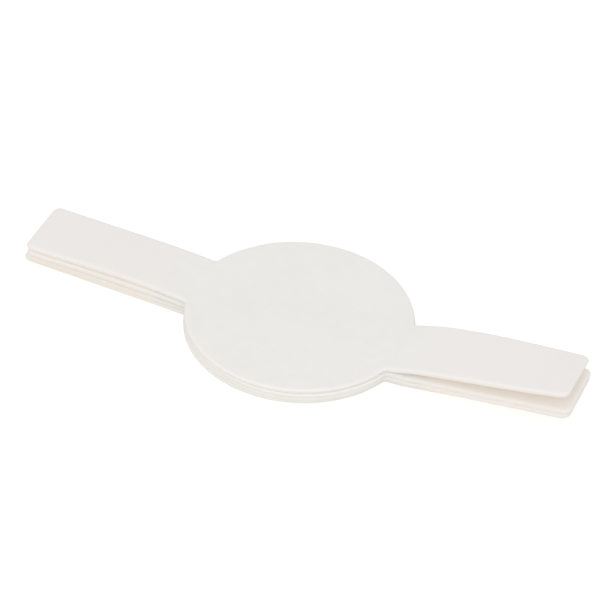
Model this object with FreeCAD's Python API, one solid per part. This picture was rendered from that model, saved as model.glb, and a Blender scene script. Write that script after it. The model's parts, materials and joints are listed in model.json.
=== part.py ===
# A loose stack of disposable adhesive eye patches, as they lie on a table.
#
# Each patch is a soft round disc with two opposite straps, cut from one laminate: an outer face of
# soft nonwoven, a thin sheet of wadding and an inner face that lies on the skin. The underside of
# each strap is sticky, and a release liner covers it until the patch is used.
# The straps of the top patch fold, so its plies are cut at two fold lines just outside the disc.
#
# Frame: millimetres. The origin is on the table, under the centre of the top disc. +X runs along the
# straps towards the raised ones, and +Z is up.

import FreeCAD
import Part
import math
import os

# Plan of one patch
disc_diameter = 60.0
strap_width = 18.8
strap_reach = 76.5  # from the disc's centre to the end of a strap
strap_corner_radius = 2.2
root_fillet_radius = 1.8  # where a strap's side meets the disc

# Plies, from the skin side up
liner_thickness = 0.10
face_thickness = 0.25
wadding_thickness = 0.60
wadding_inset = 0.8  # the wadding stops short of the edge, which is pressed shut
liner_setback = 9.0  # from the strap's root to the start of its liner

# Stack
patch_gap = 0.10
right_strap_yaw = 3.0  # degrees in plan, towards +Y
lower_right_rise = 6.7  # degrees, how far the right straps of the lower patches rise
top_right_rise = 10.4  # degrees, the same for the top patch

# Fold of the top patch's straps
fold_offset = 3.0  # from the strap's root out to the fold line
fold_clearance = 0.10  # between the plies on the two sides of a fold line

# Where each patch lies on the stack: its disc's centre and how far it is turned
patch_lies = [
    {"x": -0.7, "y": 0.1, "yaw": 0.3},
    {"x": 0.3, "y": -0.1, "yaw": -0.2},
    {"x": 0.4, "y": -0.2, "yaw": 0.2},
    {"x": 0.0, "y": 0.0, "yaw": 0.0},
]

# Values that follow from those above
UP = FreeCAD.Vector(0, 0, 1)
CENTRE = FreeCAD.Vector(0, 0, 0)
UPRIGHT_TOLERANCE = 0.001  # an edge whose two ends lie this close in plan is upright
patch_thickness = 2 * face_thickness + wadding_thickness
patch_pitch = patch_thickness + patch_gap
root_distance = math.sqrt((disc_diameter / 2) ** 2 - (strap_width / 2) ** 2)
reach_beyond = strap_reach + disc_diameter  # longer than any strap, for the tools that cut
cut_height = 2 * reach_beyond  # tall enough for every layer


def strap_frame(shape, side):
    """Put a shape made along +X from a strap's root onto the left or the right strap."""
    placed = shape.copy()
    if side == "left":
        placed.rotate(CENTRE, UP, 180)
        placed.translate(FreeCAD.Vector(-root_distance, 0, 0))
    else:
        placed.rotate(CENTRE, UP, right_strap_yaw)
        placed.translate(FreeCAD.Vector(root_distance, 0, 0))
    return placed


def upright_edges(solid, centre_distance, outside):
    """The vertical edges outside, or inside, a given distance from the disc's centre."""
    found = []
    for edge in solid.Edges:
        if len(edge.Vertexes) < 2:
            continue
        first, last = edge.Vertexes[0].Point, edge.Vertexes[1].Point
        if math.hypot(first.x - last.x, first.y - last.y) > UPRIGHT_TOLERANCE:
            continue
        far = math.hypot(first.x, first.y) > centre_distance
        if far == outside:
            found.append(edge)
    return found


def outline_prism(inset):
    """A tall prism of the patch's outline, drawn in by inset all round."""
    radius = disc_diameter / 2 - inset
    half_width = strap_width / 2 - inset
    length = strap_reach - root_distance - inset
    inner_length = root_distance / 2  # the strap's bar starts well inside the disc
    prism = Part.makeCylinder(radius, cut_height, FreeCAD.Vector(0, 0, -cut_height / 2))
    for side in ("left", "right"):
        bar = Part.makeBox(
            inner_length + length,
            2 * half_width,
            cut_height,
            FreeCAD.Vector(-inner_length, -half_width, -cut_height / 2),
        )
        prism = prism.fuse(strap_frame(bar, side))
    prism = prism.removeSplitter()
    middle = (disc_diameter / 2 + strap_reach) / 2
    prism = prism.makeFillet(root_fillet_radius + inset, upright_edges(prism, middle, False))
    return prism.makeFillet(strap_corner_radius - inset, upright_edges(prism, middle, True))


def strap_slab(z_low, z_high, rise, start, side):
    """A slab between two levels that rises along a strap, from start beyond the strap's root."""
    lift = math.tan(math.radians(rise))
    end = reach_beyond
    corners = [
        FreeCAD.Vector(start, -disc_diameter, z_low + start * lift),
        FreeCAD.Vector(end, -disc_diameter, z_low + end * lift),
        FreeCAD.Vector(end, -disc_diameter, z_high + end * lift),
        FreeCAD.Vector(start, -disc_diameter, z_high + start * lift),
    ]
    side_face = Part.Face(Part.makePolygon(corners + corners[:1]))
    return strap_frame(side_face.extrude(FreeCAD.Vector(0, 2 * disc_diameter, 0)), side)


def level_slab(z_low, z_high):
    """A flat slab between two levels that covers everything up to both strap roots."""
    slab = Part.makeBox(
        2 * reach_beyond,
        2 * disc_diameter,
        z_high - z_low,
        FreeCAD.Vector(-reach_beyond, -disc_diameter, z_low),
    )
    for side in ("left", "right"):
        beyond = strap_slab(z_low - reach_beyond, z_high + reach_beyond, 0, 0, side)
        slab = slab.cut(beyond)
    return slab


def layer(z_low, z_high, rise):
    """A layer of the stack: level under the discs and the left straps, rising under the right ones."""
    slab = level_slab(z_low, z_high)
    left = strap_slab(z_low, z_high, 0, 0, "left")
    right = strap_slab(z_low, z_high, rise, 0, "right")
    return slab.fuse([left, right])


def place(shape, lie):
    """Move a shape from a patch's own frame to where that patch lies on the stack."""
    placed = shape.copy()
    placed.rotate(CENTRE, UP, lie["yaw"])
    placed.translate(FreeCAD.Vector(lie["x"], lie["y"], 0))
    return placed


def beyond(side, start, lie):
    """All the space over and under one strap of a patch, from start beyond the strap's root."""
    return place(strap_slab(-reach_beyond, reach_beyond, 0, start, side), lie)


def patch_plies(base, rise, lie):
    """The plies and liners of one patch whose underside is at base."""
    inner_top = base + face_thickness
    wadding_top = inner_top + wadding_thickness
    full = place(outline_prism(0), lie)
    drawn_in = place(outline_prism(wadding_inset), lie)
    liner_sheet = full.common(layer(base, base + liner_thickness, rise))
    inner_face = full.common(layer(base, inner_top, rise))
    plies = {
        "outer_face": full.common(layer(wadding_top, wadding_top + face_thickness, rise)),
        "wadding": drawn_in.common(layer(inner_top, wadding_top, rise)),
    }
    for side in ("left", "right"):
        plies[side + "_liner"] = liner_sheet.common(beyond(side, liner_setback, lie))
        inner_face = inner_face.cut(plies[side + "_liner"])
    plies["inner_face"] = inner_face
    return plies


def split_at_folds(plies, lie):
    """Cut each through-going ply of a patch into a disc piece and two strap pieces."""
    pieces = {}
    for name in ("outer_face", "wadding", "inner_face"):
        middle = plies[name]
        for side in ("left", "right"):
            strap = plies[name].common(beyond(side, fold_offset + fold_clearance / 2, lie))
            pieces[side + "_strap_" + name] = strap
            middle = middle.cut(beyond(side, fold_offset - fold_clearance / 2, lie))
        pieces["disc_" + name] = middle
    for side in ("left", "right"):
        pieces[side + "_strap_liner"] = plies[side + "_liner"]
    return pieces


def build_stack():
    """Every node of the stack, by name."""
    nodes = {}
    top = len(patch_lies)
    for number, lie in enumerate(patch_lies, start=1):
        rise = top_right_rise if number == top else lower_right_rise
        plies = patch_plies((number - 1) * patch_pitch, rise, lie)
        if number == top:
            plies = split_at_folds(plies, lie)
        for name, shape in plies.items():
            nodes["patch_%d_%s" % (number, name)] = shape.removeSplitter()
    return nodes


os.makedirs("parts", exist_ok=True)
for node, shape in sorted(build_stack().items()):
    if len(shape.Solids) != 1 or not shape.isValid():
        raise RuntimeError("%s is not one valid solid" % node)
    shape.Solids[0].exportStep("parts/" + node + ".step")
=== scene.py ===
"""A loose stack of soft adhesive eye patches with release liners under their straps."""

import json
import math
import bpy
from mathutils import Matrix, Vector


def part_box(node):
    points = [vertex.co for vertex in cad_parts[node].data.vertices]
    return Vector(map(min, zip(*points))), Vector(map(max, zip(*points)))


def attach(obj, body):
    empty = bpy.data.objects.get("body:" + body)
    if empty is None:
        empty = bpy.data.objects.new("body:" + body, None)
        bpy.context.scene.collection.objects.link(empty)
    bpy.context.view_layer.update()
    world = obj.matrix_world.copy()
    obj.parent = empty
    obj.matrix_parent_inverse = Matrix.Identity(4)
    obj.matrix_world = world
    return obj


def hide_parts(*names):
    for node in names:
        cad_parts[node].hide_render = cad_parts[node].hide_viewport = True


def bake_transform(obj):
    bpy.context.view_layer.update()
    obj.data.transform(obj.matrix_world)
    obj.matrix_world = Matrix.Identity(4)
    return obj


bl_info = {
    "name": "Eye patch stack",
    "version": (1, 0, 0),
    "blender": (4, 5, 0),
    "location": "View3D > Sidebar > Eye patches",
    "description": "Models a stack of padded adhesive eye patches on a packed frame",
    "category": "Add Mesh",
}

import bmesh
import bpy
from bpy.props import FloatProperty, FloatVectorProperty, PointerProperty
from mathutils import Matrix, Vector, noise

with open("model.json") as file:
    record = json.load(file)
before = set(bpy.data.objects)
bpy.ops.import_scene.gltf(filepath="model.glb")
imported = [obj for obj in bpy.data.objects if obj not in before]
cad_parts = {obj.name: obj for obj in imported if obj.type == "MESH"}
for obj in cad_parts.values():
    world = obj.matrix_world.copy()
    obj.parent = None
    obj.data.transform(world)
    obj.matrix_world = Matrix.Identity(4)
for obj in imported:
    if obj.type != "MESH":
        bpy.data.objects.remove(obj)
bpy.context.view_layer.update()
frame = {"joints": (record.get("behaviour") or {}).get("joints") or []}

MM = 1000.0  # the plies are modelled in millimetres and end in metres
PATCHES = (1, 2, 3, 4)
TOP = PATCHES[-1]
SIDES = {"left": -1, "right": 1}

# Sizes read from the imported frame, in metres. The left straps lie level, so they give the heights.
disc_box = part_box("patch_4_disc_outer_face")
strap_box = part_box("patch_4_left_strap_outer_face")
top_liner_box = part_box("patch_4_left_strap_liner")
bottom_liner_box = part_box("patch_1_left_liner")
FRAME_DISC = disc_box[1].y - disc_box[0].y
FRAME_STRAP = strap_box[1].y - strap_box[0].y
FRAME_REACH = -strap_box[0].x
FRAME_THICKNESS = strap_box[1].z - top_liner_box[0].z
FRAME_PITCH = (top_liner_box[0].z - bottom_liner_box[0].z) / (TOP - 1)
FRAME_LINER_START = -top_liner_box[1].x
FRAME_LINER = top_liner_box[1].z - top_liner_box[0].z

# Where each patch lies on the stack, in millimetres and degrees. Each strap has its own turn in
# plan beyond its root, and its end is drawn out or in a little.
LIES = {
    1: {
        "x": -0.2,
        "y": 0.1,
        "yaw": 0.3,
        "turn": {"left": 1.2, "right": 4.8},
        "draw": {"left": -0.5, "right": 0.4},
    },
    2: {
        "x": 0.3,
        "y": -0.1,
        "yaw": -0.2,
        "turn": {"left": 0.0, "right": 3.0},
        "draw": {"left": -1.0, "right": 0.9},
    },
    3: {
        "x": 0.4,
        "y": -0.2,
        "yaw": 0.2,
        "turn": {"left": 0.0, "right": 3.0},
        "draw": {"left": -1.0, "right": 0.9},
    },
    4: {
        "x": 0.0,
        "y": 0.0,
        "yaw": 0.0,
        "turn": {"left": 0.0, "right": 3.0},
        "draw": {"left": -1.0, "right": 0.3},
    },
}

# Mesh fineness and tolerances, in millimetres
CLOTH_STEP = 1.6  # between the lines of the grid cut into the faces and liners
WADDING_STEP = 2.4
FOLD_STEP = 0.6  # the same along a strap near its fold
FOLD_REACH = 6.0  # how far beyond the root the fine lines go
END_CLEAR = 0.4  # the last line across a strap stays this far from its end
SIDE_CLEAR = 0.5  # the last line along a piece stays this far from its edge
ROOT_CLEAR = 1.5  # the rolled edge is cut across from this far beyond the root
END_ZONE = 1.4  # and cut lengthwise over this much of a strap's end
CLOSE = 0.001  # points this close count as one
GRID_MERGE = 0.002  # a line of the grid goes through any point this close to it
CUT_MERGE = 0.0005  # the same where a ply is cut off
CIRCLE_POINTS = 256
CIRCLE_GAP = math.radians(0.3)  # the circle's first point lies this far beyond the fillet
FILLET_STEPS = 9
CORNER_STEPS = 8
ROLL_STEPS = 7  # in the outer face's rolled border
BORDER_STEPS = 4  # in the borders of the inner face and the wadding
SMOOTH_ANGLE = math.radians(50)  # edges sharper than this stay sharp

# How the straps bend, in millimetres
HUMP_RUN = 6.0  # the left straps reach most of their height over this length
TOP_HUMP_RUN = 7.0
TWIST_RUN = 36.0  # half a wave of the top right strap's twist
CURL_RUN = 48.0  # from a strap's root to its end
LEFT_TWIST_RUN = 40.0
LOWER_SOFTNESS = 8.0  # how gently the lower right straps start to rise
SETTLE_RUN = 10.0  # over which the lower right straps part a little
SETTLE_GAP = 0.02  # how far each parts from the one below
LEFT_SHARE = {1: 0.1, 2: 0.2, 3: 0.8, 4: 1.0}  # of the top left strap's rise
TURN_SOFTNESS = 2.0  # how gently a strap starts to turn in plan
TURN_RUN = 5.0  # over which it takes its whole turn
WAVE_LENGTH = 14.0  # of the soft waves in every patch
STRAY_LENGTH = 3.0  # of the wander of a cut edge
STRAY_STEP = 7.0  # from one patch to the next, so that each edge strays its own way
STRAY_SHIFT = Vector((31.0, 17.0, 0.0))  # so that it strays its own way in x and in y

# Where the plies lie in a patch, in millimetres
INNER_DROP = 0.02  # the inner face meets the outer one this far below the seam
INNER_LOW = 0.01  # the height of its underside
INNER_TURN = 0.3  # how far in from the edge it turns up
LINER_STEP_RUN = 1.2  # over which it steps up over a liner
WADDING_LOW = 0.26  # the height of the wadding's underside
WADDING_SLACK = 0.28  # what it leaves free between a patch's underside and its outer face
WADDING_BORDER = 0.45  # how far in from its edge it is round
LUMP_LENGTH = 2.5  # of the lumps in the wadding
LUMP_SHARE = 0.12  # how much thinner it is between them
LUMP_SEED = 3.0  # another value gives other lumps
BLOCK_HEIGHT = 1.0  # of the block whose top becomes the paper
PAPER_SLACK = 0.01  # the paper is this much thinner than its place
PRESSED_SHARE = 0.45  # how much nearer to the edge the disc's roll is pressed
PRESSED_CLEAR = 1.5  # from a strap's side to where that begins
PRESSED_RUN = 3.0  # over which it comes in
ROLL_SLACK = 0.01  # points this far beyond the roll still belong to it

# The fold of a top strap and its cut, in metres
CUT_BEYOND_ROOT = 0.0003

# For the finishes
MOST = (0.3, 0.7)  # where most values of a random field lie
CORE = (0.35, 0.65)  # the narrower range that a tone runs over
LIGHT_REACH = (1.0, 0.95, 0.85)  # how far red, green and blue light go in cloth and paper


def length(name, text, value):
    return FloatProperty(name=name, description=text, default=value, min=0.0, unit="LENGTH")


def offset(name, text, value):
    return FloatProperty(name=name, description=text, default=value, unit="LENGTH")


def angle(name, text, degrees):
    return FloatProperty(
        name=name, description=text, default=math.radians(degrees), unit="ROTATION"
    )


def number(name, text, value):
    return FloatProperty(name=name, description=text, default=value)


def colour(name, text, value):
    return FloatVectorProperty(
        name=name, description=text, default=value, size=3, min=0.0, max=1.0, subtype="COLOR"
    )


class EyePatchSizes(bpy.types.PropertyGroup):
    """Plan and plies of one patch."""

    disc: length("Disc diameter", "Across the round pad", FRAME_DISC)
    strap: length("Strap width", "Across one strap", FRAME_STRAP)
    reach: length("Strap reach", "From the disc's centre to a strap's end", FRAME_REACH)
    corner: length("Strap corner radius", "At the two corners of a strap's end", 0.0022)
    fillet: length("Root fillet radius", "Where a strap's side meets the disc", 0.0011)
    thickness: length("Patch thickness", "Over all plies", FRAME_THICKNESS)
    pitch: length("Patch pitch", "From one patch to the next in the stack", FRAME_PITCH)
    face: length("Face thickness", "Of the outer nonwoven", 0.00025)
    lining: length("Lining thickness", "Of the inner face", 0.00015)
    inset: length("Wadding inset", "From the patch's edge to the wadding's", 0.0008)
    roll: length("Edge roll", "How far in from the edge the outer face starts to roll down", 0.0013)
    seam: length("Seam height", "From a patch's underside to where its two faces meet", 0.00028)
    liner: length("Liner thickness", "Of the release paper", FRAME_LINER)
    liner_start: length("Liner start", "From the disc's centre to the liner", FRAME_LINER_START)
    liner_back: length("Liner setback", "From the patch's edge to the release paper's", 0.00008)


class EyePatchLay(bpy.types.PropertyGroup):
    """How the straps lie."""

    ease: length("Ease", "How far inside its root a strap starts to leave its level", 0.005)
    top_hump: length("Top right hump", "Quick rise of the top right strap", 0.00255)
    top_lag: length("Top right lag", "How much later its near edge starts to rise", 0.003)
    top_slope: number("Top right slope", "Steady rise of the top right strap", 0.12)
    top_twist: length("Top right twist", "How far its far edge stands up near the root", 0.0004)
    top_curl: length("Top right curl", "How far its near edge stands up at the end", 0.0006)
    lower_slope: number("Lower right slope", "Steady rise of the lower right straps", 0.112)
    left_hump: length("Left hump", "Rise of the top left strap off the one below", 0.00108)
    left_twist: length("Left twist", "Further rise of its near edge", 0.0005)
    ripple: length("Ripple", "Height of the soft waves in every patch", 0.00006)
    wander: length("Edge wander", "How far a cut edge strays from its line", 0.00005)


class EyePatchFinish(bpy.types.PropertyGroup):
    """Colours of the plies."""

    outer: colour("Outer face", "Soft nonwoven", (0.789, 0.775, 0.749))
    outer_thin: colour("Outer face, thin", "Where its fibres lie thin", (0.760, 0.745, 0.719))
    outer_warm: colour("Outer face, warm", "Where the paper shows through", (0.787, 0.754, 0.732))
    # Painted shade: a darker, warmer tone down the lower part of each rolled border, where the gap
    # under the patch is in shade.
    outer_border_shade: colour("Outer face, pressed", "Dense at its border", (0.71, 0.675, 0.63))
    # Kept dark: the inner face's painted glow, light it gives off of its own, makes up the rest of
    # its brightness.
    inner: colour("Inner face", "Smooth nonwoven next to the skin", (0.47, 0.45, 0.425))
    wadding: colour("Wadding", "Loose fibre", (0.82, 0.81, 0.79))
    # Kept dark: the paper's painted glow, light it gives off of its own, makes up much of its honey
    # tone.
    liner: colour("Release liner", "Honey-coloured paper", (0.30, 0.255, 0.20))
    liner_pale: colour("Release liner, pale", "Where the paper is thinner", (0.34, 0.295, 0.235))


class EyePatchStage(bpy.types.PropertyGroup):
    """Floor, light and camera."""

    azimuth: angle("Azimuth", "Of the camera, to the right of the front", 22.09)
    elevation: angle("Elevation", "Of the camera above the table", 40.23)
    roll: angle("Roll", "Of the camera about its own axis", 3.67)
    distance: length("Distance", "From the camera to the point it looks at", 1.2)
    lens: number("Focal length", "In millimetres on a 36 mm sensor", 269.4)
    aim_x: offset("Aim X", "Point looked at, across", -0.002)
    aim_y: offset("Aim Y", "Point looked at, away", 0.00893)
    sky: number("Room light", "Strength of the even light from all round", 0.93)
    key: number("Front light", "Power of the large soft light, in watts", 3.6)
    floor: colour("Floor", "Pale plain floor", (0.55, 0.55, 0.55))
    glow: number("Floor glow", "Light that the floor gives off, as a light table does", 0.5)


# --- Working in edit mode -------------------------------------------------------------------


def take_only(*pieces):
    """Select these pieces alone and make the first the active one."""
    bpy.ops.object.select_all(action="DESELECT")
    for piece in pieces:
        piece.select_set(True)
    bpy.context.view_layer.objects.active = pieces[0]


def edit(piece):
    take_only(piece)
    bpy.ops.object.mode_set(mode="EDIT")
    bpy.ops.mesh.select_mode(type="FACE")


def leave():
    bpy.ops.object.mode_set(mode="OBJECT")


def pick_faces(piece, wanted):
    """In edit mode, select the faces whose centre passes the test, and no others."""
    bpy.ops.mesh.select_all(action="DESELECT")
    shape = bmesh.from_edit_mesh(piece.data)
    for face in shape.faces:
        if wanted(face):
            face.select_set(True)
    bmesh.update_edit_mesh(piece.data)


def pick_edges(piece, wanted):
    """In edit mode, select the edges that pass the test, and no others."""
    bpy.ops.mesh.select_mode(type="EDGE")
    bpy.ops.mesh.select_all(action="DESELECT")
    shape = bmesh.from_edit_mesh(piece.data)
    for edge in shape.edges:
        if wanted(edge.verts[0].co, edge.verts[1].co):
            edge.select_set(True)
    bmesh.update_edit_mesh(piece.data)


def use(piece, kind, **settings):
    """Add a modifier with these settings and apply it."""
    take_only(piece)
    bpy.ops.object.modifier_add(type=kind)
    modifier = piece.modifiers[-1]
    for name, value in settings.items():
        setattr(modifier, name, value)
    bpy.ops.object.modifier_apply(modifier=modifier.name)


def copy_of(piece, name):
    """A copy of a piece, with its own mesh."""
    take_only(piece)
    bpy.ops.object.duplicate()
    made = bpy.context.object
    made.name = name
    made.data.name = name
    return made


def block(x_low, x_high, half_width):
    """A block from x_low to x_high, with its middle at height 0."""
    bpy.ops.object.select_all(action="DESELECT")
    bpy.ops.mesh.primitive_cube_add(size=1.0, location=((x_low + x_high) / 2, 0, 0))
    made = bpy.context.object
    made.scale = (x_high - x_low, 2 * half_width, BLOCK_HEIGHT)
    bpy.ops.object.transform_apply(location=True, rotation=True, scale=True)
    return made


def pick_points(piece, wanted):
    """In edit mode, select the vertices whose place passes the test, and no others."""
    bpy.ops.mesh.select_mode(type="VERT")
    bpy.ops.mesh.select_all(action="DESELECT")
    shape = bmesh.from_edit_mesh(piece.data)
    for vertex in shape.verts:
        if wanted(vertex.co):
            vertex.select_set(True)
    bmesh.update_edit_mesh(piece.data)


def draw_on(piece, start, end):
    """In edit mode, draw an edge from the vertex at start to a new one at end."""
    pick_points(piece, lambda co: (co - start).length < CLOSE)
    bpy.ops.mesh.extrude_vertices_move(TRANSFORM_OT_translate={"value": end - start})


def draw_arc(piece, start, centre, turn, steps):
    """In edit mode, draw an arc from the vertex at start round a centre, anticlockwise from
    above where turn is positive."""
    pick_points(piece, lambda co: (co - start).length < CLOSE)
    bpy.ops.mesh.spin(steps=steps, angle=turn, center=centre, axis=(0, 0, -1), dupli=False)


# --- The outline ----------------------------------------------------------------------------


def root_distance(sizes):
    """From the disc's centre to the middle of a strap's root, in metres."""
    return math.sqrt((sizes.disc / 2) ** 2 - (sizes.strap / 2) ** 2)


def outline(sizes, inset, name):
    """A flat face with the outline of a patch, drawn in by inset. A quarter of it is drawn from
    the top of the disc to the middle of the strap's end, and mirrored both ways."""
    radius = sizes.disc * MM / 2 - inset
    half = sizes.strap * MM / 2 - inset
    reach = sizes.reach * MM - inset
    fillet = sizes.fillet * MM + inset
    corner = sizes.corner * MM - inset
    hollow_y = half + fillet
    hollow_x = math.sqrt((radius + fillet) ** 2 - hollow_y**2)
    touch = math.atan2(hollow_y, hollow_x)
    bpy.ops.object.select_all(action="DESELECT")
    bpy.ops.mesh.primitive_circle_add(vertices=CIRCLE_POINTS, radius=radius, fill_type="NOTHING")
    sheet = bpy.context.object
    sheet.name = name
    edit(sheet)
    first = touch + CIRCLE_GAP
    pick_points(sheet, lambda co: co.x < -CLOSE or math.atan2(co.y, co.x) < first)
    bpy.ops.mesh.delete(type="VERT")
    last = min((v.co.copy() for v in bmesh.from_edit_mesh(sheet.data).verts), key=lambda co: co.y)
    on_disc = Vector((radius * math.cos(touch), radius * math.sin(touch), 0.0))
    draw_on(sheet, last, on_disc)
    draw_arc(sheet, on_disc, (hollow_x, hollow_y, 0.0), math.pi / 2 - touch, FILLET_STEPS)
    on_strap = Vector((hollow_x, half, 0.0))
    before_corner = Vector((reach - corner, half, 0.0))
    draw_on(sheet, on_strap, before_corner)
    corner_centre = (reach - corner, half - corner, 0.0)
    draw_arc(sheet, before_corner, corner_centre, -math.pi / 2, CORNER_STEPS)
    draw_on(sheet, Vector((reach, half - corner, 0.0)), Vector((reach, 0.0, 0.0)))
    leave()
    use(sheet, "MIRROR", use_axis=(True, True, False), merge_threshold=CLOSE)
    edit(sheet)
    bpy.ops.mesh.select_mode(type="VERT")
    bpy.ops.mesh.select_all(action="SELECT")
    bpy.ops.mesh.edge_face_add()
    bpy.ops.mesh.normals_make_consistent(inside=False)
    leave()
    if sheet.data.polygons[0].normal.z < 0:
        edit(sheet)
        bpy.ops.mesh.select_all(action="SELECT")
        bpy.ops.mesh.flip_normals()
        leave()
    return sheet


def flat_area(piece):
    """Area of a flat sheet modelled in millimetres, in square metres."""
    return sum(face.area for face in piece.data.polygons) / MM**2


def roll_edge(piece, run, rise, steps):
    """Turn a flat face's border up into a rounded edge that runs in by run and rises by rise."""
    edit(piece)
    bpy.ops.mesh.select_all(action="SELECT")
    done_in, done_up = 0.0, 0.0
    for step in range(1, steps + 1):
        turn = math.pi / 2 * step / steps
        across, up = run * (1 - math.cos(turn)), rise * math.sin(turn)
        bpy.ops.mesh.inset(thickness=across - done_in, depth=up - done_up)
        done_in, done_up = across, up
    leave()


def cut_grid(piece, sizes, level, spacing):
    """Cut a piece into a fine grid, so that it can bend. The face at level is cut all over, and
    the rolled edge only along the straps."""
    root = root_distance(sizes) * MM
    reach = sizes.reach * MM
    fine_end = root + FOLD_REACH
    lines = []
    x = -root + spacing / 2
    while x < root:
        lines.append(x)
        x += spacing
    x = root
    while x < reach - END_CLEAR:
        lines += [x, -x]
        x += FOLD_STEP if x < fine_end else spacing
    edit(piece)
    for x in sorted(lines):
        along_strap = abs(x) > root + ROOT_CLEAR
        pick_faces(
            piece,
            lambda face: (along_strap or face.calc_center_median().z > level - CLOSE)
            and any(v.co.x < x for v in face.verts)
            and any(v.co.x > x for v in face.verts),
        )
        bpy.ops.mesh.bisect(plane_co=(x, 0, 0), plane_no=(1, 0, 0), threshold=GRID_MERGE)
    y = -sizes.disc * MM / 2 + spacing
    while y < sizes.disc * MM / 2 - SIDE_CLEAR:
        pick_faces(
            piece,
            lambda face: (
                face.calc_center_median().z > level - CLOSE
                or abs(face.calc_center_median().x) > reach - END_ZONE
            )
            and any(v.co.y < y for v in face.verts)
            and any(v.co.y > y for v in face.verts),
        )
        bpy.ops.mesh.bisect(plane_co=(0, y, 0), plane_no=(0, 1, 0), threshold=GRID_MERGE)
        y += spacing
    leave()


# --- How the patches lie --------------------------------------------------------------------


def soft_start(distance, softness):
    """Distance beyond a line, eased so that what depends on it starts without a crease."""
    if distance <= 0:
        return 0.0
    return math.sqrt(distance**2 + softness**2) - softness


def strap_lift(patch, side, along, across, lay):
    """How far a strap stands above its level place, in millimetres. along is the distance beyond
    its root, and across runs from -1 at its near edge to 1 at its far edge."""
    ease = lay.ease * MM
    if side == "right" and patch == TOP:
        late = lay.top_lag * MM * (1 - across) / 2
        eased = soft_start(along + ease - late, ease)
        hump = lay.top_hump * MM * (1 - math.exp(-eased / TOP_HUMP_RUN))
        twist = lay.top_twist * MM * math.sin(math.pi * eased / TWIST_RUN)
        curl = lay.top_curl * MM * (eased / CURL_RUN) ** 3
        return hump + lay.top_slope * eased + (twist - curl) * across
    eased = soft_start(along + ease, ease)
    if side == "right":
        settled = SETTLE_GAP * (patch - 1) * min(1.0, eased / SETTLE_RUN)
        return lay.lower_slope * soft_start(along, LOWER_SOFTNESS) + settled
    share = LEFT_SHARE[patch]
    hump = lay.left_hump * MM * (1 - math.exp(-eased / HUMP_RUN))
    wave = math.sin(math.pi * min(1.0, eased / LEFT_TWIST_RUN))
    near = lay.left_twist * MM * wave * (1 - across) / 2
    return share * hump + share**4 * near


def lay_point(point, patch, sizes, lay):
    """Where a point of a flat patch lies in the stack. All in millimetres."""
    lie = LIES[patch]
    root = root_distance(sizes) * MM
    span = sizes.reach * MM - root
    x, y, z = point
    side = "right" if x > 0 else "left"
    along = abs(x) - root
    across = max(-1.0, min(1.0, y / (sizes.strap * MM / 2)))
    lift = strap_lift(patch, side, along, across, lay)
    if along > 0:
        taken = min(1.0, soft_start(along, TURN_SOFTNESS) / TURN_RUN)
        turn = math.radians(lie["turn"][side]) * taken
        along *= 1 + lie["draw"][side] / span
        outward = SIDES[side]
        x = outward * (root + along * math.cos(turn) - y * math.sin(turn))
        y = y * math.cos(turn) + along * math.sin(turn)
    here = Vector((x, y, 0.0)) / WAVE_LENGTH
    lift += lay.ripple * MM * (1 + noise.noise(here)) / 2
    stray = lay.wander * MM
    near = Vector((x / STRAY_LENGTH, y / STRAY_LENGTH, patch * STRAY_STEP))
    x += stray * noise.noise(near)
    y += stray * noise.noise(near + STRAY_SHIFT)
    yaw = math.radians(lie["yaw"])
    return Vector(
        (
            x * math.cos(yaw) - y * math.sin(yaw) + lie["x"],
            x * math.sin(yaw) + y * math.cos(yaw) + lie["y"],
            z + (patch - 1) * sizes.pitch * MM + lift,
        )
    )


def lay_on_stack(template, patch, name, sizes, lay):
    """A copy of a flat template, bent to where it lies in one patch."""
    piece = copy_of(template, name)
    for vertex in piece.data.vertices:
        vertex.co = lay_point(vertex.co, patch, sizes, lay)
    return piece


def cut_off(piece, name, x_low, x_high):
    """A copy of a piece, closed where it is cut off at x_low and at x_high."""
    part = copy_of(piece, name)
    edit(part)
    for x, drop_below in ((x_low, True), (x_high, False)):
        if x is None:
            continue
        bpy.ops.mesh.select_all(action="SELECT")
        bpy.ops.mesh.bisect(
            plane_co=(x, 0, 0),
            plane_no=(1, 0, 0),
            use_fill=True,
            clear_inner=drop_below,
            clear_outer=not drop_below,
            threshold=CUT_MERGE,
        )
    leave()
    return part


def finish_piece(piece, body, slot, material, *nodes):
    """Bring a piece to metres, smooth it, give it its material, hide the nodes it stands for, and
    tie it to its body where one is given.
    """
    piece.data.transform(Matrix.Scale(1 / MM, 4))
    take_only(piece)
    bpy.ops.object.shade_smooth_by_angle(angle=SMOOTH_ANGLE, keep_sharp_edges=True)
    piece.data.materials.clear()
    piece.data.materials.append(material)
    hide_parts(*nodes)
    if body is not None:
        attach(piece, body)


def hinge_blend(piece, side):
    """Bake a strap ply's place into its mesh; its fold joint is looked up but not used."""
    joint = next(j for j in frame["joints"] if j["name"] == side + "_strap_fold")
    "patch_4_" + side + "_strap"
    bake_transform(piece)


# --- Materials ------------------------------------------------------------------------------


class Field:
    """A number that varies over a surface, with ordinary arithmetic."""

    def __init__(self, finish, socket):
        self.finish = finish
        self.socket = socket

    def maths(self, operation, first, second):
        node = self.finish.node("ShaderNodeMath", {"operation": operation}, {0: first, 1: second})
        return Field(self.finish, node.outputs[0])

    def __add__(self, other):
        return self.maths("ADD", self, other)

    def __radd__(self, other):
        return self.maths("ADD", other, self)

    def __sub__(self, other):
        return self.maths("SUBTRACT", self, other)

    def __rsub__(self, other):
        return self.maths("SUBTRACT", other, self)

    def __mul__(self, other):
        return self.maths("MULTIPLY", self, other)

    def __rmul__(self, other):
        return self.maths("MULTIPLY", other, self)

    def __abs__(self):
        return self.maths("ABSOLUTE", self, 0.0)


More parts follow.
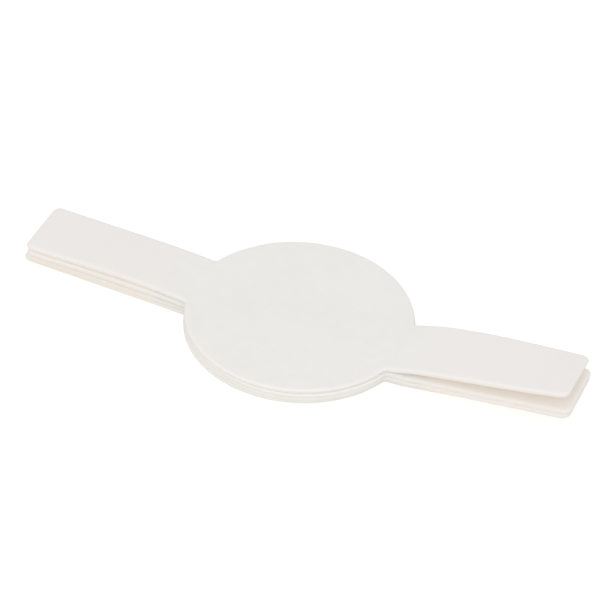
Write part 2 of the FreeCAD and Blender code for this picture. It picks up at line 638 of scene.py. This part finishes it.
class Finish:
    """One material, built node by node."""

    def __init__(self, name):
        self.material = bpy.data.materials.new(name)
        self.material.use_nodes = True
        self.tree = self.material.node_tree
        self.shader = self.tree.nodes["Principled BSDF"]
        self.place = self.node("ShaderNodeTexCoord").outputs["Object"]

    def node(self, kind, settings=None, inputs=None):
        """Add a node, set it up, and feed its sockets with numbers, colours, fields or links."""
        made = self.tree.nodes.new(kind)
        for name, value in (settings or {}).items():
            setattr(made, name, value)
        for name, value in (inputs or {}).items():
            self.feed(made.inputs[name], value)
        return made

    def feed(self, socket, value):
        if isinstance(value, Field):
            value = value.socket
        if isinstance(value, bpy.types.NodeSocket):
            self.tree.links.new(value, socket)
        else:
            socket.default_value = value

    def turned(self, degrees, stretch):
        """Object coordinates turned in plan and stretched, for fibres that run one way."""
        turn = self.node(
            "ShaderNodeMapping",
            {"vector_type": "POINT"},
            {"Vector": self.place, "Rotation": (0, 0, math.radians(degrees)), "Scale": stretch},
        )
        return turn.outputs[0]

    def clouds(self, scale, detail, roughness=0.5, place=None):
        """Soft random patches, from 0 to 1."""
        made = self.node(
            "ShaderNodeTexNoise",
            {"noise_dimensions": "3D"},
            {
                "Vector": self.place if place is None else place,
                "Scale": scale,
                "Detail": detail,
                "Roughness": roughness,
            },
        )
        return Field(self, made.outputs[0])

    def span(self, field, low, high, to_low=0.0, to_high=1.0):
        """Stretch a field from one range to another, held at the ends."""
        made = self.node(
            "ShaderNodeMapRange",
            {"clamp": True},
            {
                "Value": field,
                "From Min": low,
                "From Max": high,
                "To Min": to_low,
                "To Max": to_high,
            },
        )
        return Field(self, made.outputs[0])

    def mix(self, share, first, second):
        """Mix two colours."""
        made = self.node("ShaderNodeMix", {"data_type": "RGBA"}, {0: share, 6: first, 7: second})
        return made.outputs[2]

    def beyond(self, start, width):
        """0 near the middle of the stack and 1 farther out than start along X, either way."""
        split = self.node("ShaderNodeSeparateXYZ", None, {"Vector": self.place})
        out = abs(Field(self, split.outputs["X"]))
        return self.span(out, start - width / 2, start + width / 2)

    def noted(self, name):
        """A number noted on the piece's own points."""
        made = self.node("ShaderNodeAttribute", {"attribute_name": name})
        return Field(self, made.outputs["Fac"])

    def bump(self, height, distance, strength, under=None):
        """Fine relief, distance deep in metres, over another where one is given."""
        inputs = {"Height": height, "Distance": distance, "Strength": strength}
        if under is not None:
            inputs["Normal"] = under
        return self.node("ShaderNodeBump", None, inputs).outputs[0]

    def let_light_through(self, weight, depth, glow, tint=(1.0, 1.0, 1.0)):
        """Let light wander in the material to a depth in metres, as in thin pale cloth. The glow
        stands for daylight that comes through the plies from above."""
        self.set(
            Subsurface_Weight=weight,
            Subsurface_Scale=depth,
            Subsurface_Radius=LIGHT_REACH,
            Emission_Color=rgba(tint),
            Emission_Strength=glow,
        )

    def set(self, **values):
        """Set or feed the shader's own sockets."""
        for name, value in values.items():
            self.feed(self.shader.inputs[name.replace("_", " ")], value)


def rgba(value):
    return (value[0], value[1], value[2], 1.0)


def fibres(finish, width, length_ratio, directions):
    """Fine fibres lying several ways over each other, from 0 to 1."""
    scale = 1.0 / (width * length_ratio)
    stretch = (1.0, length_ratio, length_ratio)
    total = None
    for degrees in directions:
        lying = finish.turned(degrees, stretch)
        layer = finish.clouds(scale, detail=3.0, roughness=0.6, place=lying)
        total = layer if total is None else total + layer
    return total * (1.0 / len(directions))


def nonwoven(name, dense, thin, roughness, relief, glow=0.0):
    """Soft spun fabric: tangled fibres, with soft clouds where they lie thick or thin. Gives the
    finish and its tone."""
    finish = Finish(name)
    cloth = fibres(finish, width=0.00016, length_ratio=9.0, directions=(12, 71, 128, 163))
    cloud = finish.clouds(scale=260.0, detail=3.0, roughness=0.55)
    broad = finish.clouds(scale=45.0, detail=1.0)
    mass = cloth * 0.5 + cloud * 0.3 + broad * 0.2
    thinness = 1 - finish.span(mass, low=0.36, high=0.62)
    tone = finish.mix(thinness, rgba(dense), rgba(thin))
    smoother, rougher = roughness - 0.06, roughness + 0.06
    finish.set(Base_Color=tone, Roughness=finish.span(cloth, *MOST, smoother, rougher))
    soft = finish.bump(cloud, distance=0.00012, strength=0.5 * relief)
    finish.set(Normal=finish.bump(cloth, distance=0.00008, strength=relief, under=soft))
    finish.set(Sheen_Weight=0.12, Sheen_Roughness=0.6, Specular_IOR_Level=0.25)
    finish.let_light_through(weight=0.1, depth=0.0004, glow=glow, tint=(1.0, 0.985, 0.96))
    return finish, tone


def outer_cloth(colours, liner_start):
    """The outer face's nonwoven, warmer where the paper below shows through a little, and darker
    and warmer down its rolled border, a painted shade where the roll turns under into the gap below."""
    finish, tone = nonwoven(
        "soft_nonwoven", colours.outer, colours.outer_thin, roughness=0.86, relief=0.35
    )
    over_liner = 0.9 * finish.beyond(liner_start, width=0.003)
    tone = finish.mix(over_liner, tone, rgba(colours.outer_warm))
    # Painted shade, growing down the rolled border to its bottom edge.
    pressed = finish.span(finish.noted("border"), low=0.35, high=0.85)
    finish.set(Base_Color=finish.mix(pressed, tone, rgba(colours.outer_border_shade)))
    return finish.material


def inner_cloth(tone):
    """The inner face's nonwoven, smoother than the outer one."""
    thin = tuple(0.96 * channel for channel in tone)
    # The glow is painted light: the inner face gives off a little light of its own, for daylight
    # that comes through the plies.
    finish, _ = nonwoven("smooth_nonwoven", tone, thin, roughness=0.78, relief=0.2, glow=0.33)
    return finish.material


def liner_paper(main, pale):
    """Thin waxed release paper: an even honey tone with short paper fibres and a low sheen."""
    finish = Finish("release_paper")
    grain = fibres(finish, width=0.0003, length_ratio=4.0, directions=(35, 110))
    cloud = finish.clouds(scale=400.0, detail=4.0, roughness=0.6)
    paleness = finish.span(grain * 0.5 + cloud * 0.5, *CORE)
    finish.set(Base_Color=finish.mix(paleness, rgba(main), rgba(pale)))
    finish.set(Roughness=finish.span(cloud, *MOST, to_low=0.34, to_high=0.46))
    finish.set(Normal=finish.bump(grain, distance=0.00003, strength=0.3))
    # The glow is painted light: the paper gives off a warm light of its own, for daylight that comes
    # through the plies.
    finish.let_light_through(weight=0.1, depth=0.0004, glow=0.54, tint=(1.0, 0.935, 0.84))
    return finish.material


def loose_wadding(tone):
    """Loose fibre wadding, uneven and matt."""
    finish = Finish("loose_wadding")
    tangle = fibres(finish, width=0.0004, length_ratio=6.0, directions=(20, 80, 140))
    lumps = finish.clouds(scale=300.0, detail=4.0, roughness=0.65)
    fullness = finish.span(tangle * 0.6 + lumps * 0.4, *CORE)
    darker = tuple(0.9 * channel for channel in tone)
    finish.set(Base_Color=finish.mix(fullness, rgba(darker), rgba(tone)))
    finish.set(Roughness=finish.span(lumps, *MOST, to_low=0.88, to_high=0.98))
    finish.set(Normal=finish.bump(tangle, distance=0.0002, strength=0.8))
    # The glow is painted light, for daylight that comes through the plies.
    finish.let_light_through(weight=0.2, depth=0.0009, glow=0.1)
    return finish.material


# --- The plies ------------------------------------------------------------------------------


def press_disc_border(sheet, sizes):
    """Bring the roll nearer to the edge round the disc, which is pressed harder than a strap."""
    radius, roll = sizes.disc * MM / 2, sizes.roll * MM
    clear_of_strap = sizes.strap * MM / 2 + PRESSED_CLEAR
    for vertex in sheet.data.vertices:
        out = math.hypot(vertex.co.x, vertex.co.y)
        depth = radius - out
        if depth > roll + ROLL_SLACK or abs(vertex.co.y) < clear_of_strap:
            continue
        eased = min(1.0, (abs(vertex.co.y) - clear_of_strap) / PRESSED_RUN)
        share = 1 - PRESSED_SHARE * eased
        vertex.co.x *= (radius - depth * share) / out
        vertex.co.y *= (radius - depth * share) / out


def mark_border(sheet, top):
    """Note on every point how far down the rolled border it lies, from 0 to 1, for the painted shade
    at the bottom of the roll.
    """
    note = sheet.data.attributes.new("border", "FLOAT", "POINT")
    for vertex in sheet.data.vertices:
        note.data[vertex.index].value = max(0.0, min(1.0, 1 - vertex.co.z / top))


def outer_template(sizes):
    """A flat outer face: a thin shell whose border rolls down to the seam."""
    sheet = outline(sizes, 0.0, "outer_template")
    area = flat_area(sheet)
    rise = (sizes.thickness - sizes.seam) * MM
    roll_edge(sheet, sizes.roll * MM, rise, ROLL_STEPS)
    cut_grid(sheet, sizes, rise, CLOTH_STEP)
    press_disc_border(sheet, sizes)
    mark_border(sheet, rise)
    use(sheet, "SOLIDIFY", thickness=sizes.face * MM, offset=-1.0, use_even_offset=False)
    for vertex in sheet.data.vertices:
        vertex.co.z += sizes.seam * MM
    return sheet, area


def inner_template(sizes):
    """A flat inner face, which turns up to the seam at its border and makes room for the liners."""
    seam = sizes.seam * MM - INNER_DROP
    sheet = outline(sizes, 0.0, "inner_template")
    area = flat_area(sheet)
    roll_edge(sheet, INNER_TURN, seam - INNER_LOW, BORDER_STEPS)
    cut_grid(sheet, sizes, seam - INNER_LOW, CLOTH_STEP)
    use(sheet, "SOLIDIFY", thickness=sizes.lining * MM, offset=-1.0, use_even_offset=False)
    edit(sheet)
    bpy.ops.mesh.select_all(action="SELECT")
    bpy.ops.mesh.flip_normals()
    leave()
    start = sizes.liner_start * MM
    for vertex in sheet.data.vertices:
        height = seam - vertex.co.z
        beyond = min(1.0, max(0.0, 1 + (abs(vertex.co.x) - start) / LINER_STEP_RUN))
        raised = sizes.liner * MM * beyond * beyond * (3 - 2 * beyond)
        vertex.co.z = height + raised * max(0.0, 1 - height / seam)
    return sheet, area


def wadding_template(sizes):
    """A flat pad of wadding with a soft round border."""
    sheet = outline(sizes, sizes.inset * MM, "wadding_template")
    thick = (sizes.thickness - sizes.face) * MM - WADDING_SLACK
    roll_edge(sheet, WADDING_BORDER, thick / 2, BORDER_STEPS)
    cut_grid(sheet, sizes, thick / 2, WADDING_STEP)
    for vertex in sheet.data.vertices:
        here = Vector((vertex.co.x / LUMP_LENGTH, vertex.co.y / LUMP_LENGTH, LUMP_SEED))
        vertex.co.z *= 1 - LUMP_SHARE * abs(noise.noise(here))
    use(sheet, "MIRROR", use_axis=(False, False, True), merge_threshold=CLOSE)
    for vertex in sheet.data.vertices:
        vertex.co.z += WADDING_LOW + thick / 2
    return sheet


def liner_template(sizes):
    """A flat strip of release paper under the right strap, made from the top of a block."""
    start, end = sizes.liner_start * MM, (sizes.reach - sizes.liner_back) * MM
    half = (sizes.strap / 2 - sizes.liner_back) * MM
    strip = block(start, end, half)
    strip.name = "liner_template"
    edit(strip)
    pick_edges(strip, lambda a, b: min(a.x, b.x) > end - CLOSE and abs(a.z - b.z) > CLOSE)
    bpy.ops.mesh.bevel(offset=sizes.corner * MM, segments=CORNER_STEPS, affect="EDGES")
    bpy.ops.mesh.select_mode(type="FACE")
    pick_faces(strip, lambda face: face.normal.z < 1 - CLOSE)
    bpy.ops.mesh.delete(type="FACE")
    for axis, low, high in ((Vector((1, 0, 0)), start, end), (Vector((0, 1, 0)), -half, half)):
        at = low + CLOTH_STEP
        while at < high - SIDE_CLEAR:
            bpy.ops.mesh.select_all(action="SELECT")
            bpy.ops.mesh.bisect(plane_co=at * axis, plane_no=axis, threshold=GRID_MERGE)
            at += CLOTH_STEP
    bpy.ops.mesh.select_all(action="SELECT")
    bpy.ops.transform.translate(value=(0, 0, -BLOCK_HEIGHT / 2))
    leave()
    area = flat_area(strip)
    use(strip, "SOLIDIFY", thickness=sizes.liner * MM - PAPER_SLACK, offset=1.0)
    for vertex in strip.data.vertices:
        vertex.co.z += PAPER_SLACK / 2
    return strip, area


def place_ply(template, ply, slot, material, sizes, lay):
    """Lay one ply in every patch. The top patch's is cut just beyond the two strap roots."""
    made = []
    for patch in PATCHES[:-1]:
        name = "patch_%d_%s" % (patch, ply)
        piece = lay_on_stack(template, patch, name + "_cloth", sizes, lay)
        finish_piece(piece, "patch_%d" % patch, slot, material, name)
        made.append((piece, "whole"))
    whole = lay_on_stack(template, TOP, "whole_top_" + ply, sizes, lay)
    cut = (root_distance(sizes) + CUT_BEYOND_ROOT) * MM
    spans = {"left": (None, -cut), "disc": (-cut, cut), "right": (cut, None)}
    for part, (x_low, x_high) in spans.items():
        node = "patch_4_disc_" + ply if part == "disc" else "patch_4_%s_strap_%s" % (part, ply)
        piece = cut_off(whole, node + "_cloth", x_low, x_high)
        if part == "disc":
            finish_piece(piece, "patch_4", slot, material, node)
            made.append((piece, "disc"))
        else:
            finish_piece(piece, None, slot, material, node)
            hinge_blend(piece, part)
            made.append((piece, "strap"))
    bpy.data.objects.remove(whole)
    bpy.data.objects.remove(template)
    return made


class EYEPATCH_OT_outer_faces(bpy.types.Operator):
    """Model the soft outer faces, which roll down over the edges of the patches"""

    bl_idname = "eyepatch.outer_faces"
    bl_label = "Outer faces"

    def execute(self, context):
        sizes, lay = context.scene.eyepatch_sizes, context.scene.eyepatch_lay
        cloth = outer_cloth(context.scene.eyepatch_finish, sizes.liner_start)
        template, area = outer_template(sizes)
        made = place_ply(template, "outer_face", "outer_face", cloth, sizes, lay)
        return {"FINISHED"}


class EYEPATCH_OT_inner_faces(bpy.types.Operator):
    """Model the inner faces, which lie on the skin and carry the adhesive"""

    bl_idname = "eyepatch.inner_faces"
    bl_label = "Inner faces"

    def execute(self, context):
        sizes, lay = context.scene.eyepatch_sizes, context.scene.eyepatch_lay
        cloth = inner_cloth(context.scene.eyepatch_finish.inner)
        template, area = inner_template(sizes)
        made = place_ply(template, "inner_face", "inner_face", cloth, sizes, lay)
        return {"FINISHED"}


class EYEPATCH_OT_wadding(bpy.types.Operator):
    """Model the thin pads of wadding between the two faces"""

    bl_idname = "eyepatch.wadding"
    bl_label = "Wadding"

    def execute(self, context):
        sizes, lay = context.scene.eyepatch_sizes, context.scene.eyepatch_lay
        fill = loose_wadding(context.scene.eyepatch_finish.wadding)
        template = wadding_template(sizes)
        for piece, _ in place_ply(template, "wadding", "wadding", fill, sizes, lay):
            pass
        return {"FINISHED"}


class EYEPATCH_OT_liners(bpy.types.Operator):
    """Model the release liners under the straps"""

    bl_idname = "eyepatch.liners"
    bl_label = "Release liners"

    def execute(self, context):
        sizes, lay = context.scene.eyepatch_sizes, context.scene.eyepatch_lay
        colours = context.scene.eyepatch_finish
        paper = liner_paper(colours.liner, colours.liner_pale)
        right, area = liner_template(sizes)
        left = copy_of(right, "left_liner_template")
        left.rotation_euler.z = math.pi
        bpy.ops.object.transform_apply(location=True, rotation=True, scale=True)
        for side, template in (("left", left), ("right", right)):
            for patch in PATCHES:
                node = "patch_%d_%s_liner" % (patch, side)
                body = node
                if patch == TOP:
                    node = "patch_4_%s_strap_liner" % side
                piece = lay_on_stack(template, patch, node + "_paper", sizes, lay)
                finish_piece(piece, body, "release_liner", paper, node)
            bpy.data.objects.remove(template)
        return {"FINISHED"}


# --- Stage ----------------------------------------------------------------------------------


def soft_panel(name, place, aim, size, power):
    """A large square light that looks at a point."""
    light = bpy.data.lights.new(name, "AREA")
    light.shape = "SQUARE"
    light.size = size
    light.energy = power
    lamp = bpy.data.objects.new(name, light)
    bpy.context.scene.collection.objects.link(lamp)
    lamp.location = place
    lamp.rotation_euler = (Vector(aim) - Vector(place)).to_track_quat("-Z", "Y").to_euler()


class EYEPATCH_OT_stage(bpy.types.Operator):
    """Set up the floor, the soft light and the camera"""

    bl_idname = "eyepatch.stage"
    bl_label = "Stage"

    def execute(self, context):
        scene = context.scene
        stage = scene.eyepatch_stage
        bpy.ops.object.select_all(action="DESELECT")
        bpy.ops.mesh.primitive_plane_add(size=8.0, location=(0, 0, 0))
        floor = context.object
        floor.name = "floor"
        finish = Finish("pale_floor")
        cloud = finish.clouds(scale=3.0, detail=1.0)
        darker = tuple(0.995 * channel for channel in stage.floor)
        finish.set(Base_Color=finish.mix(cloud, rgba(darker), rgba(stage.floor)))
        finish.set(Roughness=0.9, Specular_IOR_Level=0.2)
        finish.set(Emission_Color=(1, 1, 1, 1), Emission_Strength=stage.glow)
        floor.data.materials.append(finish.material)

        world = bpy.data.worlds.new("room")
        world.use_nodes = True
        sky = world.node_tree.nodes["Background"]
        sky.inputs["Color"].default_value = (1, 1, 1, 1)
        sky.inputs["Strength"].default_value = stage.sky
        scene.world = world
        front, middle = (0.25, -0.9, 0.8), (0, 0, 0)
        soft_panel("front_softbox", place=front, aim=middle, size=0.9, power=stage.key)

        eye, turn = camera_place(stage)
        camera = bpy.data.cameras.new("camera")
        camera.sensor_width = 36.0
        camera.lens = stage.lens
        camera.clip_start = 0.01
        holder = bpy.data.objects.new("camera", camera)
        scene.collection.objects.link(holder)
        holder.matrix_world = Matrix.Translation(eye) @ turn.to_4x4()
        scene.camera = holder
        scene.view_settings.view_transform = "Standard"
        return {"FINISHED"}


def camera_place(stage):
    """Where the camera stands, and its turn, from its angles about the point it looks at."""
    across = Vector((math.cos(stage.azimuth), math.sin(stage.azimuth), 0.0))
    level = Vector((-math.sin(stage.azimuth), math.cos(stage.azimuth), 0.0))
    ahead = math.cos(stage.elevation) * level - math.sin(stage.elevation) * Vector((0, 0, 1))
    up = across.cross(ahead)
    right = math.cos(stage.roll) * across + math.sin(stage.roll) * up
    above = math.cos(stage.roll) * up - math.sin(stage.roll) * across
    eye = Vector((stage.aim_x, stage.aim_y, 0.0)) - stage.distance * ahead
    turn = Matrix((right, above, -ahead)).transposed()
    return eye, turn


class EYEPATCH_PT_stack(bpy.types.Panel):
    """Lists the steps that build the stack"""

    bl_label = "Eye patch stack"
    bl_space_type = "VIEW_3D"
    bl_region_type = "UI"
    bl_category = "Eye patches"

    def draw(self, context):
        layout = self.layout
        for group in GROUPS:
            box = layout.box()
            settings = getattr(context.scene, group)
            for name in settings.bl_rna.properties.keys():
                if name not in ("rna_type", "name"):
                    box.prop(settings, name)
        for step in STEPS:
            layout.operator(step.bl_idname)


GROUPS = {
    "eyepatch_sizes": EyePatchSizes,
    "eyepatch_lay": EyePatchLay,
    "eyepatch_finish": EyePatchFinish,
    "eyepatch_stage": EyePatchStage,
}
STEPS = (
    EYEPATCH_OT_stage,
    EYEPATCH_OT_outer_faces,
    EYEPATCH_OT_inner_faces,
    EYEPATCH_OT_wadding,
    EYEPATCH_OT_liners,
)


def register():
    for group in GROUPS.values():
        bpy.utils.register_class(group)
    for step in (*STEPS, EYEPATCH_PT_stack):
        bpy.utils.register_class(step)
    for name, group in GROUPS.items():
        setattr(bpy.types.Scene, name, PointerProperty(type=group))


def unregister():
    for name in GROUPS:
        delattr(bpy.types.Scene, name)
    for step in (EYEPATCH_PT_stack, *reversed(STEPS)):
        bpy.utils.unregister_class(step)
    for group in reversed(list(GROUPS.values())):
        bpy.utils.unregister_class(group)


def main():
    register()
    bpy.ops.eyepatch.stage()
    bpy.ops.eyepatch.outer_faces()
    bpy.ops.eyepatch.inner_faces()
    bpy.ops.eyepatch.wadding()
    bpy.ops.eyepatch.liners()
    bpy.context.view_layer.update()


if __name__ == "__main__":
    main()
